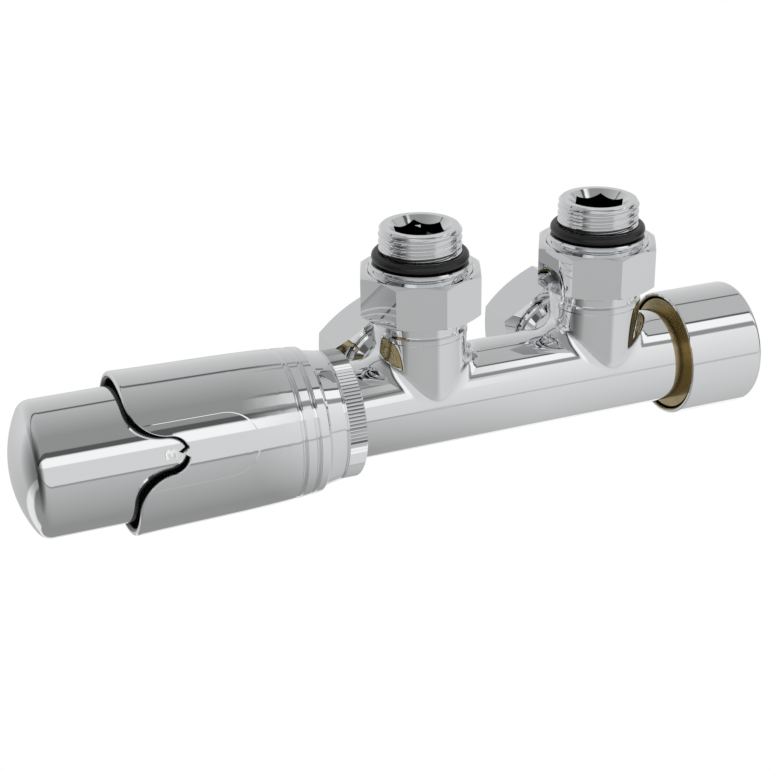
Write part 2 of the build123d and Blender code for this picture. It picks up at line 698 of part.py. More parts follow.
# Sensor train: carrier with lugs in the knob's thread, overload spring, capsule and push stem
with BuildPart() as sensor_carrier:
    turn_along_x([
        (carrier_left, 0), (carrier_left, carrier_skirt_r), (carrier_left + carrier_len, carrier_skirt_r),
        (carrier_left + carrier_len, carrier_skirt_r - carrier_skirt_wall),
        (carrier_left + carrier_web, carrier_skirt_r - carrier_skirt_wall), (carrier_left + carrier_web, 0),
    ])
    with BuildSketch(Plane(origin=(carrier_left, 0, 0), x_dir=(0, 1, 0), z_dir=(1, 0, 0))):
        with PolarLocations((carrier_skirt_r - 0.5 + lug_r) / 2, lug_count):
            Rectangle(lug_r - carrier_skirt_r + 0.5, lug_w)
    extrude(amount=carrier_lug_len)
finish(sensor_carrier, "sensor_carrier")

with BuildPart() as overload_spring:
    coil(carrier_left + carrier_web, sensor_left, overload_spring_r, overload_wire_r, overload_turns)
finish(overload_spring, "overload_spring")

sensor_right = sensor_left + sensor_len
with BuildPart() as sensor_capsule:
    bar(sensor_left, sensor_right, sensor_r)
    fillet(sensor_capsule.edges().filter_by(GeomType.CIRCLE).group_by(Axis.X)[-1], 1.5)
    fillet(sensor_capsule.edges().filter_by(GeomType.CIRCLE).group_by(Axis.X)[0], 0.6)
finish(sensor_capsule, "sensor_capsule")

with BuildPart() as push_stem:
    bar(sensor_right, pin_tip - seat_clear, stem_r)
    chamfer(push_stem.edges().filter_by(GeomType.CIRCLE).group_by(Axis.X)[-1], 0.5)
finish(push_stem, "push_stem")

# Control insert: housing, gland, spindle with its washer, spring, and the cage that holds the seat
web_left = -housing_end - housing_web_t
with BuildPart() as insert_housing:
    turn_along_x([
        (-tube_end, 0), (-tube_end, insert_flange_r), (-tube_end + insert_flange_t, insert_flange_r),
        (-tube_end + insert_flange_t, insert_bore_r - seat_clear), (-housing_end, insert_bore_r - seat_clear),
        (-housing_end, 0),
    ])
    bar(-tube_end - 1, web_left, housing_bore_r, Mode.SUBTRACT)
    bar(web_left - 1, -housing_end + 1, pin_r + running_clear, Mode.SUBTRACT)
    ring_groove(-housing_ring_x, housing_ring_r, insert_bore_r - seat_clear, 2 * housing_ring_r - 0.1)
finish(insert_housing, "insert_housing")

housing_ring_centre = insert_bore_r - housing_ring_r
with BuildPart() as insert_ring:
    ring_on_x(-housing_ring_x, housing_ring_centre, housing_ring_r - 0.05)
finish(insert_ring, "insert_housing_ring")

gland_hex_left = gland_tip + gland_nose_len
with BuildPart() as insert_gland:
    bar(gland_tip, gland_hex_left, gland_nose_r)
    with BuildSketch(Plane(origin=(gland_hex_left, 0, 0), x_dir=(0, 1, 0), z_dir=(1, 0, 0))):
        RegularPolygon(gland_flats / 2, 6, major_radius=False)
    extrude(amount=gland_hex_right - gland_hex_left)
    bar(gland_hex_right, -tube_end, gland_flats / 2 + 0.3)
    bar(-tube_end, gland_thread_right, housing_bore_r - seat_clear)
    bar(gland_tip - 1, gland_thread_right + 1, pin_r + running_clear, Mode.SUBTRACT)
    turn_along_x([
        (gland_ring_x - gland_ring_r - 0.05, 0),
        (gland_ring_x - gland_ring_r - 0.05, pin_r + 2 * gland_ring_r + 0.1),
        (gland_ring_x + gland_ring_r + 0.05, pin_r + 2 * gland_ring_r + 0.1),
        (gland_ring_x + gland_ring_r + 0.05, 0),
    ], Mode.SUBTRACT)
finish(insert_gland, "insert_gland")

with BuildPart() as gland_ring:
    ring_on_x(gland_ring_x, pin_r + running_clear + gland_ring_r, gland_ring_r - 0.02)
finish(gland_ring, "gland_ring")

washer_right = seat_x - seat_lip - valve_lift
disc_right = washer_right - washer_t
with BuildPart() as valve_spindle:
    turn_along_x([
        (pin_tip, 0), (pin_tip, pin_r - 0.3), (pin_tip + 0.3, pin_r), (spindle_collar_x, pin_r),
        (spindle_collar_x, spindle_collar_r), (spindle_collar_x + spindle_collar_t, spindle_collar_r),
        (spindle_collar_x + spindle_collar_t, pin_r), (disc_right - disc_t - 2, pin_r),
        (disc_right - disc_t, disc_r - 2), (disc_right - disc_t, disc_r), (disc_right, disc_r),
        (disc_right, pin_r), (washer_right - 0.3, pin_r), (washer_right - 0.3, 0),
    ])
finish(valve_spindle, "valve_spindle")

with BuildPart() as valve_washer:
    turn_along_x([(disc_right, pin_r), (disc_right, washer_r), (washer_right, washer_r), (washer_right, pin_r)])
finish(valve_washer, "valve_washer")

with BuildPart() as opening_spring:
    coil(spindle_collar_x + spindle_collar_t, web_left, opening_spring_r, opening_wire_r, opening_turns)
finish(opening_spring, "opening_spring")

cage_nose_left = -insert_bore_end + 0.1
with BuildPart() as seat_cage:
    turn_along_x([
        (-housing_end, housing_bore_r), (-housing_end, cage_r), (cage_nose_left, cage_r),
        (cage_nose_left, cage_nose_r), (cage_end, cage_nose_r), (cage_end, seat_hole_r),
        (seat_x - seat_lip, seat_hole_r), (seat_x - seat_lip + 0.5, seat_hole_r + 0.3),
        (seat_x, housing_bore_r - 0.6), (seat_x, housing_bore_r),
    ])
    with BuildSketch(Plane.XY):
        with Locations(((cage_window_left + cage_window_right) / 2, 0)):
            Rectangle(cage_window_right - cage_window_left, cage_window_w)
    with BuildSketch(Plane.XZ):
        with Locations(((cage_window_left + cage_window_right) / 2, 0)):
            Rectangle(cage_window_right - cage_window_left, cage_window_w)
    extrude(amount=cage_r + 1, both=True, mode=Mode.SUBTRACT)
    ring_groove(cage_ring_x, cage_ring_r, cage_nose_r, 2 * cage_ring_r - 0.1)
finish(seat_cage, "seat_cage")

with BuildPart() as cage_ring:
    ring_on_x(cage_ring_x, cage_nose_r - cage_ring_r + 0.07, cage_ring_r - 0.04)
finish(cage_ring, "seat_cage_ring")

# Return insert: housing, screw with its plug disc, washer, rings and the ring that stops the screw
with BuildPart() as return_housing:
    turn_along_x([
        (tube_end, 0), (tube_end, insert_flange_r), (tube_end - insert_flange_t, insert_flange_r),
        (tube_end - insert_flange_t, insert_bore_r - seat_clear), (housing_end, insert_bore_r - seat_clear),
        (housing_end, 0),
    ])
    bar(housing_end - 1, tube_end + 1, return_screw_r + running_clear, Mode.SUBTRACT)
    bar(stop_ring_x - seat_clear, stop_ring_x + stop_ring_t + seat_clear,
        return_screw_r + running_clear + stop_ring_groove, Mode.SUBTRACT)
    ring_groove(housing_ring_x, housing_ring_r, insert_bore_r - seat_clear, 2 * housing_ring_r - 0.1)
finish(return_housing, "return_housing")

with BuildPart() as return_housing_ring:
    ring_on_x(housing_ring_x, housing_ring_centre, housing_ring_r - 0.05)
finish(return_housing_ring, "return_housing_ring")

return_washer_left = insert_bore_end + return_lift
return_disc_left = return_washer_left + return_washer_t
return_disc_right = return_disc_left + return_disc_t
with BuildPart() as return_screw:
    turn_along_x([
        (return_washer_left + 0.3, 0), (return_washer_left + 0.3, return_stem_r - 0.8),
        (return_disc_left, return_stem_r - 0.8), (return_disc_left, return_disc_r),
        (return_disc_right, return_disc_r), (return_disc_right, return_stem_r),
        (return_plain_start, return_stem_r), (return_plain_start, return_plain_r),
        (return_thread_start, return_plain_r), (return_thread_start, return_screw_r),
        (return_screw_end - 0.5, return_screw_r), (return_screw_end, return_screw_r - 0.5), (return_screw_end, 0),
    ])
    with BuildSketch(Plane(origin=(return_screw_end, 0, 0), x_dir=(0, 1, 0), z_dir=(1, 0, 0))):
        RegularPolygon(return_key_flats / 2, 6, major_radius=False)
    extrude(amount=-return_key_depth, mode=Mode.SUBTRACT)
    ring_groove(return_ring_x, return_ring_r, return_plain_r, 2 * return_ring_r - 0.1)
finish(return_screw, "return_screw")

with BuildPart() as return_screw_ring:
    ring_on_x(return_ring_x, return_screw_r - return_ring_r - 0.02, return_ring_r - 0.04)
finish(return_screw_ring, "return_screw_ring")

with BuildPart() as return_washer:
    turn_along_x([
        (return_washer_left, return_stem_r - 0.8), (return_washer_left, return_washer_r),
        (return_disc_left, return_washer_r), (return_disc_left, return_stem_r - 0.8),
    ])
finish(return_washer, "return_washer")

with BuildPart() as stop_ring:
    outer = return_screw_r + running_clear + stop_ring_groove - seat_clear
    turn_along_x([(stop_ring_x, outer), (stop_ring_x + stop_ring_t, outer),
                  (stop_ring_x + stop_ring_t, outer - stop_ring_w), (stop_ring_x, outer - stop_ring_w)],
                 arc=360 - clip_gap)
finish(stop_ring, "return_stop_ring")

# Cap that pushes on over the return insert, held by its ring
with BuildPart() as cover_cap:
    bar(cap_start, cap_end, cap_r)
    fillet(cover_cap.edges().filter_by(GeomType.CIRCLE).group_by(Axis.X)[-1], cap_round)
    fillet(cover_cap.edges().filter_by(GeomType.CIRCLE).group_by(Axis.X)[0], 0.3)
    bar(cap_start - 1, cap_end - cap_end_wall, cap_bore_r, Mode.SUBTRACT)
    chamfer(cover_cap.edges().filter_by(GeomType.CIRCLE).group_by(Axis.X)[0].sort_by(SortBy.RADIUS)[0], 0.3)
finish(cover_cap, "cover_cap")

with BuildPart() as cap_ring:
    ring_on_x(cap_ring_x, end_thread_r - cap_ring_groove + cap_ring_r + 0.02, cap_ring_r - 0.02)
finish(cap_ring, "cap_ring")
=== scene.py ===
import json
from math import cos, pi, radians, sin

import bmesh
import bpy
from mathutils import Matrix, Vector


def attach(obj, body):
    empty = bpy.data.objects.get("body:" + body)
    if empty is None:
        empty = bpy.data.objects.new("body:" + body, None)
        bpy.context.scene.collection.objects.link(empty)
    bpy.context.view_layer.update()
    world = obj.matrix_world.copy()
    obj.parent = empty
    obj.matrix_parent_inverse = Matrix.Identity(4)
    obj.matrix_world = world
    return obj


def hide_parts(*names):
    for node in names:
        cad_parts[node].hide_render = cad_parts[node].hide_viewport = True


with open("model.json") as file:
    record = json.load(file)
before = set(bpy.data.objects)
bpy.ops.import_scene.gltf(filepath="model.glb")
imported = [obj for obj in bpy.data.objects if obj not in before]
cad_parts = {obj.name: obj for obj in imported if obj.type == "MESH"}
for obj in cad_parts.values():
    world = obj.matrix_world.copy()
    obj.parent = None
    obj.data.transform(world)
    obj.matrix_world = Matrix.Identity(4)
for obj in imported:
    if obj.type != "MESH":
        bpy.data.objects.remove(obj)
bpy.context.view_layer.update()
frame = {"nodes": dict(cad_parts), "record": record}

MM = 0.001
nodes = frame["nodes"]

# Sizes that the scene repeats from the solids, in mm and degrees
BRANCH_X = {"left": -25.0, "right": 25.0}
BRANCH_R = 11.7
TUBE_R = 12.5
THREAD_PITCH = 1.814
NIPPLE_THREAD_R = 10.4775
NIPPLE_THREAD_DEPTH = 1.05
NIPPLE_THREAD_LOW = 40.65
NIPPLE_THREAD_CHAMFER = 46.5
NIPPLE_THREAD_TOP = 47.25
THREAD_OVERRUN = 0.2
SHARP_ANGLE = 30.0
KNOB_R = 16.87
WINDOW_ANGLE = 19.2
DIGIT_X = -95.7
DIGIT_TALL = 3.0
DIGIT_WIDE = 2.5
DIGIT_LIFT = 0.16
DIGIT_BOLD = 0.03
SETTING_ANGLE = 50.0
SETTINGS = 6
SHOWN_SETTING = 3
SLEEVE_R = 20.0
DIP_END_X = -82.5
DIP_HALF = 8.2
DIP_DEPTH = 0.05
DIP_BORDER = 0.4
DIP_FADE = (-104.0, -99.0)

# Cast blend of the branches: where its soft look ends and is full, measured from the line, and how soft it is, in mm
BLEND_REACH = 2.4
BLEND_FULL = 0.6
BLEND_SOFT = 2.6

# Where the plating stops and the brass beneath it shows, in mm: along the cross tube, and round its axis; for the
# sleeve, its inside, painted near-black as shade
BODY_PLATED = (-46.6, 43.4)
SLEEVE_PAINTED_SHADE_ZONE = (19.3, -74.0)
CAP_BARE = (15.95, 65.6)
RING_NUT_BARE = (15.6, 0.0)

# The studio, in metres
TENT_R = 2.2
FLOOR_HALF = 20.0
FLOOR_DROP = 2.6


# Two tones and the metal share of the brass that the plating leaves open, and of the near-black painted shade on the
# sleeve's inside
DULL_BRASS = ("#C9B78F", "#A3946C", 1.0)
SLEEVE_INSIDE_PAINTED_SHADE = ("#1B1C1E", "#101112", 0.0)


def linear(hex_colour):
    """An sRGB hex colour as linear RGBA."""
    parts = [int(hex_colour[i:i + 2], 16) / 255 for i in (1, 3, 5)]
    return [p / 12.92 if p <= 0.04045 else ((p + 0.055) / 1.055) ** 2.4 for p in parts] + [1.0]


def add_node(tree, kind, settings=None, links=None):
    """Adds one node, sets its properties and sockets, and links its inputs."""
    node = tree.nodes.new(kind)
    for key, value in (settings or {}).items():
        if isinstance(key, int) or key in node.inputs:
            node.inputs[key].default_value = value
        else:
            setattr(node, key, value)
    for key, source in (links or {}).items():
        tree.links.new(source, node.inputs[key])
    return node


def new_material(name, settings):
    """A material with one Principled shader and its output."""
    material = bpy.data.materials.new(name)
    material.use_nodes = True
    tree = material.node_tree
    tree.nodes.clear()
    shader = add_node(tree, "ShaderNodeBsdfPrincipled", settings)
    add_node(tree, "ShaderNodeOutputMaterial", links={"Surface": shader.outputs["BSDF"]})
    return material, tree, shader


def bright_chrome(name, colour, roughness, wave, haze, bare_and_shade_zone=None, bare_and_shade_tones=DULL_BRASS, soft=None, dip=None):
    """Chrome plate on polished brass or on moulded ABS: a mirror with a faint wave from the buffing beneath it.

    A zone can be named where other tones replace the chrome, with their two tones and metal share: unplated brass that
    the plate leaves open, and near-black painted shade on the sleeve's inside.
    soft gives how far edges and fillets look rounded over, as a node output in metres, and dip a height in metres.
    """
    material, tree, shader = new_material(name, {"Base Color": linear(colour), "Metallic": 1.0})
    coordinates = add_node(tree, "ShaderNodeTexCoord")
    swell = add_node(tree, "ShaderNodeTexNoise", {"Scale": 1 / (9.0 * MM), "Detail": 1.0, "Roughness": 0.4},
                     {"Vector": coordinates.outputs["Object"]})
    bump = add_node(tree, "ShaderNodeBump", {"Strength": 1.0, "Distance": wave * MM},
                    {"Height": swell.outputs["Fac"]})
    if soft:
        rounded = add_node(tree, "ShaderNodeBevel", {"samples": 12},
                           {"Radius": soft(tree, coordinates.outputs["Object"])})
        tree.links.new(rounded.outputs["Normal"], bump.inputs["Normal"])
    film = add_node(tree, "ShaderNodeTexNoise", {"Scale": 1 / (3.0 * MM), "Detail": 4.0, "Roughness": 0.6},
                    {"Vector": coordinates.outputs["Object"]})
    spread = add_node(tree, "ShaderNodeMapRange",
                      {"From Min": 0.35, "From Max": 0.75, "To Min": roughness, "To Max": roughness + haze},
                      {"Value": film.outputs["Fac"]})
    tree.links.new(spread.outputs["Result"], shader.inputs["Roughness"])
    relief = bump
    if dip:
        relief = add_node(tree, "ShaderNodeBump", {"Strength": 1.0, "Distance": 1.0},
                          {"Height": dip(tree, coordinates.outputs["Object"]), "Normal": bump.outputs["Normal"]})
    tree.links.new(relief.outputs["Normal"], shader.inputs["Normal"])
    # Other tones in the named zone: unplated brass, and on the sleeve's inside a near-black painted shade
    if bare_and_shade_zone:
        mask = bare_and_shade_zone(tree, coordinates.outputs["Object"])
        bare_and_shade_mix = add_node(tree, "ShaderNodeMix", {"data_type": "RGBA", 6: linear(bare_and_shade_tones[0]), 7: linear(bare_and_shade_tones[1])},
                         {0: film.outputs["Fac"]})
        base = add_node(tree, "ShaderNodeMix", {"data_type": "RGBA", 6: linear(colour)},
                        {0: mask, 7: bare_and_shade_mix.outputs[2]})
        dull = add_node(tree, "ShaderNodeMix", {"data_type": "FLOAT", 3: 0.26},
                        {0: mask, 2: spread.outputs["Result"]})
        tree.links.new(base.outputs[2], shader.inputs["Base Color"])
        tree.links.new(dull.outputs[0], shader.inputs["Roughness"])
        if bare_and_shade_tones[2] < 1:
            metal = add_node(tree, "ShaderNodeMapRange", {"To Min": 1.0, "To Max": bare_and_shade_tones[2]}, {"Value": mask})
            tree.links.new(metal.outputs["Result"], shader.inputs["Metallic"])
    return material


def beyond(left, right):
    """Zone past two places along the cross tube, one on each end, in mm."""
    def zone(tree, place):
        split = add_node(tree, "ShaderNodeSeparateXYZ", links={0: place})
        low = add_node(tree, "ShaderNodeMath", {"operation": "LESS_THAN", 1: left * MM}, {0: split.outputs["X"]})
        high = add_node(tree, "ShaderNodeMath", {"operation": "GREATER_THAN", 1: right * MM}, {0: split.outputs["X"]})
        either = add_node(tree, "ShaderNodeMath", {"operation": "MAXIMUM"}, {0: low.outputs[0], 1: high.outputs[0]})
        return either.outputs[0]
    return zone


def within(radius, end):
    """Zone inside a radius round the cross tube's axis, up to a place along it, in mm."""
    def zone(tree, place):
        split = add_node(tree, "ShaderNodeSeparateXYZ", links={0: place})
        across = add_node(tree, "ShaderNodeCombineXYZ", links={"X": split.outputs["Y"], "Y": split.outputs["Z"]})
        reach = add_node(tree, "ShaderNodeVectorMath", {"operation": "LENGTH"}, {0: across.outputs[0]})
        near = add_node(tree, "ShaderNodeMath", {"operation": "LESS_THAN", 1: radius * MM}, {0: reach.outputs["Value"]})
        before = add_node(tree, "ShaderNodeMath", {"operation": "LESS_THAN", 1: end * MM}, {0: split.outputs["X"]})
        both = add_node(tree, "ShaderNodeMath", {"operation": "MULTIPLY"}, {0: near.outputs[0], 1: before.outputs[0]})
        return both.outputs[0]
    return zone


def turned_brass():
    """Bare CZ122 brass as it leaves the lathe: warm yellow with fine rings and a slightly dull film."""
    material, tree, shader = new_material("turned_brass", {"Metallic": 1.0})
    coordinates = add_node(tree, "ShaderNodeTexCoord")
    tone = add_node(tree, "ShaderNodeTexNoise", {"Scale": 1 / (4.0 * MM), "Detail": 5.0},
                    {"Vector": coordinates.outputs["Object"]})
    mix = add_node(tree, "ShaderNodeMix", {"data_type": "RGBA", 6: linear("#C9A668"), 7: linear("#A98549")},
                   {0: tone.outputs["Fac"]})
    marks = add_node(tree, "ShaderNodeTexWave", {"bands_direction": "X", "Scale": 1 / (0.9 * MM), "Distortion": 0.3},
                     {"Vector": coordinates.outputs["Object"]})
    bump = add_node(tree, "ShaderNodeBump", {"Strength": 0.4, "Distance": 0.01 * MM},
                    {"Height": marks.outputs["Fac"]})
    rough = add_node(tree, "ShaderNodeMapRange", {"To Min": 0.22, "To Max": 0.38}, {"Value": tone.outputs["Fac"]})
    tree.links.new(mix.outputs[2], shader.inputs["Base Color"])
    tree.links.new(rough.outputs["Result"], shader.inputs["Roughness"])
    tree.links.new(bump.outputs["Normal"], shader.inputs["Normal"])
    return material


def moulded(name, colour, other, roughness, grain, depth):
    """A moulded or drawn surface: two close tones, grain in the roughness and a fine relief."""
    material, tree, shader = new_material(name, {})
    coordinates = add_node(tree, "ShaderNodeTexCoord")
    noise = add_node(tree, "ShaderNodeTexNoise", {"Scale": 1 / (grain * MM), "Detail": 4.0},
                     {"Vector": coordinates.outputs["Object"]})
    mix = add_node(tree, "ShaderNodeMix", {"data_type": "RGBA", 6: linear(colour), 7: linear(other)},
                   {0: noise.outputs["Fac"]})
    rough = add_node(tree, "ShaderNodeMapRange", {"To Min": roughness - 0.06, "To Max": roughness + 0.06},
                     {"Value": noise.outputs["Fac"]})
    bump = add_node(tree, "ShaderNodeBump", {"Strength": 0.5, "Distance": depth * MM},
                    {"Height": noise.outputs["Fac"]})
    tree.links.new(mix.outputs[2], shader.inputs["Base Color"])
    tree.links.new(rough.outputs["Result"], shader.inputs["Roughness"])
    tree.links.new(bump.outputs["Normal"], shader.inputs["Normal"])
    return material, shader


def drawn_steel():
    """Stainless spring wire and stampings: grey metal with a soft drawn haze."""
    material, shader = moulded("drawn_steel", "#B9BBBD", "#A3A5A8", 0.28, 0.8, 0.004)
    shader.inputs["Metallic"].default_value = 1.0
    return material


def rim_rounding(tree, place):
    """Rounded look of the window's and rim's edges, left of the grooves."""
    split = add_node(tree, "ShaderNodeSeparateXYZ", links={0: place})
    near = add_node(tree, "ShaderNodeMapRange", {"From Min": -86 * MM, "From Max": -88 * MM, "To Max": 0.22 * MM},
                    {"Value": split.outputs["X"]})
    return near.outputs["Result"]


def branch_rounding(tree, place):
    """Soft look of the cast blend where each branch leaves the cross tube, and none away from that line."""
    split = add_node(tree, "ShaderNodeSeparateXYZ", links={0: place})
    side = add_node(tree, "ShaderNodeMath", {"operation": "ABSOLUTE"}, {0: split.outputs["X"]})
    off = add_node(tree, "ShaderNodeMath", {"operation": "SUBTRACT", 1: BRANCH_X["right"] * MM}, {0: side.outputs[0]})
    flat = add_node(tree, "ShaderNodeCombineXYZ", links={"X": off.outputs[0], "Y": split.outputs["Y"]})
    round_x = add_node(tree, "ShaderNodeCombineXYZ", links={"X": split.outputs["Y"], "Y": split.outputs["Z"]})
    gaps = []
    for spoke, radius in ((flat, BRANCH_R), (round_x, TUBE_R)):
        reach = add_node(tree, "ShaderNodeVectorMath", {"operation": "LENGTH"}, {0: spoke.outputs[0]})
        over = add_node(tree, "ShaderNodeMath", {"operation": "SUBTRACT", 1: radius * MM}, {0: reach.outputs["Value"]})
        gaps.append(add_node(tree, "ShaderNodeMath", {"operation": "ABSOLUTE"}, {0: over.outputs[0]}))
    total = add_node(tree, "ShaderNodeMath", {"operation": "ADD"}, {0: gaps[0].outputs[0], 1: gaps[1].outputs[0]})
    near = add_node(tree, "ShaderNodeMapRange",
                    {"interpolation_type": "SMOOTHSTEP", "From Min": BLEND_REACH * MM,
                     "From Max": BLEND_FULL * MM, "To Max": BLEND_SOFT * MM},
                    {"Value": total.outputs[0]})
    above = add_node(tree, "ShaderNodeMath", {"operation": "GREATER_THAN", 1: 0.0}, {0: split.outputs["Z"]})
    used = add_node(tree, "ShaderNodeMath", {"operation": "MULTIPLY"}, {0: near.outputs["Result"], 1: above.outputs[0]})
    return used.outputs[0]


def finger_dip(tree, place):
    """The shallow finger-shaped dip round the sleeve's window, with a crisp border and a round end."""
    split = add_node(tree, "ShaderNodeSeparateXYZ", links={0: place})
    forward = add_node(tree, "ShaderNodeMath", {"operation": "MULTIPLY", 1: -1.0}, {0: split.outputs["Y"]})
    angle = add_node(tree, "ShaderNodeMath", {"operation": "ARCTAN2"}, {0: split.outputs["Z"], 1: forward.outputs[0]})
    turn = add_node(tree, "ShaderNodeMath", {"operation": "SUBTRACT", 1: radians(WINDOW_ANGLE)}, {0: angle.outputs[0]})
    across = add_node(tree, "ShaderNodeMath", {"operation": "MULTIPLY", 1: SLEEVE_R * MM}, {0: turn.outputs[0]})
    along = add_node(tree, "ShaderNodeMath", {"operation": "SUBTRACT", 1: DIP_END_X * MM}, {0: split.outputs["X"]})
    ahead = add_node(tree, "ShaderNodeMath", {"operation": "MAXIMUM", 1: 0.0}, {0: along.outputs[0]})
    offset = add_node(tree, "ShaderNodeCombineXYZ", links={"X": ahead.outputs[0], "Y": across.outputs[0]})
    reach = add_node(tree, "ShaderNodeVectorMath", {"operation": "LENGTH"}, {0: offset.outputs[0]})
    step = add_node(tree, "ShaderNodeMapRange",
                    {"interpolation_type": "SMOOTHSTEP", "From Min": (DIP_HALF - DIP_BORDER) * MM,
                     "From Max": DIP_HALF * MM, "To Max": DIP_DEPTH * MM},
                    {"Value": reach.outputs["Value"]})
    fade = add_node(tree, "ShaderNodeMapRange", {"From Min": DIP_FADE[0] * MM, "From Max": DIP_FADE[1] * MM},
                    {"Value": split.outputs["X"]})
    height = add_node(tree, "ShaderNodeMath", {"operation": "MULTIPLY"},
                      {0: step.outputs["Result"], 1: fade.outputs[0]})
    return height.outputs[0]


CHROME = "#F2F3F4"
chrome_on_brass = bright_chrome("chrome_on_brass", CHROME, 0.008, 0.003, 0.008)
chrome_on_plastic = bright_chrome("chrome_on_plastic", CHROME, 0.006, 0.003, 0.008)
# The sleeve's inside is painted near-black and not metal, as shade for the gap round the knob
chrome_and_painted_shade_on_sleeve = bright_chrome("chrome_and_painted_shade_on_sleeve", CHROME, 0.006, 0.003, 0.008, bare_and_shade_zone=within(*SLEEVE_PAINTED_SHADE_ZONE),
                                 bare_and_shade_tones=SLEEVE_INSIDE_PAINTED_SHADE, soft=rim_rounding, dip=finger_dip)
chrome_on_body = bright_chrome("chrome_on_body", CHROME, 0.008, 0.003, 0.008, bare_and_shade_zone=beyond(*BODY_PLATED),
                               soft=branch_rounding)
chrome_on_cap = bright_chrome("chrome_on_cap", CHROME, 0.008, 0.003, 0.008, bare_and_shade_zone=within(*CAP_BARE))
chrome_on_ring_nut = bright_chrome("chrome_on_ring_nut", CHROME, 0.008, 0.003, 0.008,
                                   bare_and_shade_zone=within(*RING_NUT_BARE))
brass = turned_brass()
# Moulded rubber gives a soft dark sheen, pressed fibre is dull, and moulded acetal and ABS have a fine even grain
epdm, _ = moulded("epdm_rubber", "#0C0C0C", "#161616", 0.33, 0.6, 0.01)
fibre, _ = moulded("gasket_fibre", "#5A5C5E", "#4A4C4F", 0.75, 0.4, 0.02)
white_plastic, _ = moulded("acetal_white", "#E4E3DE", "#DAD9D4", 0.42, 0.7, 0.004)
grey_plastic, _ = moulded("abs_grey", "#25272A", "#1E2023", 0.5, 0.7, 0.004)
# Printed paint lies flat and plain white on the chrome
dial_paint, _ = moulded("dial_paint", "#FFFFFF", "#FAFAF8", 0.5, 0.5, 0.0005)
steel = drawn_steel()
finishes = {"chrome_plate": chrome_on_brass, "chrome_plastic": chrome_on_plastic, "bare_brass": brass,
            "black_rubber": epdm, "grey_fibre": fibre, "steel": steel, "white_plastic": white_plastic,
            "grey_plastic": grey_plastic}
own_finishes = {"valve_body": chrome_on_body, "cover_cap": chrome_on_cap, "ring_nut": chrome_on_ring_nut,
                "outer_sleeve": chrome_and_painted_shade_on_sleeve}
for part in frame["record"]["subparts"]:
    mesh = nodes[part["node"]].data
    finish = own_finishes.get(part["node"], finishes[part["material_slot"]])
    for index in range(max(1, len(mesh.materials))):
        if index < len(mesh.materials):
            mesh.materials[index] = finish
        else:
            mesh.materials.append(finish)


# Camera fitted to the photograph: place in mm, and its right and up directions
CAMERA_PLACE = Vector((-181.618, -364.899, 187.079))
CAMERA_RIGHT = Vector((0.92559, -0.37833, -0.01253))
CAMERA_UP = Vector((0.16919, 0.38386, 0.90776))
camera_data = bpy.data.cameras.new("camera")
camera_data.lens = 79.33
camera_data.sensor_width = 36.0
camera_data.clip_start = 0.01
camera = bpy.data.objects.new("camera", camera_data)
right = CAMERA_RIGHT.normalized()
back = right.cross(CAMERA_UP).normalized()
up = back.cross(right)
camera.matrix_world = Matrix.Translation(CAMERA_PLACE * MM) @ Matrix((right, up, back)).transposed().to_4x4()
bpy.context.scene.collection.objects.link(camera)
bpy.context.scene.camera = camera


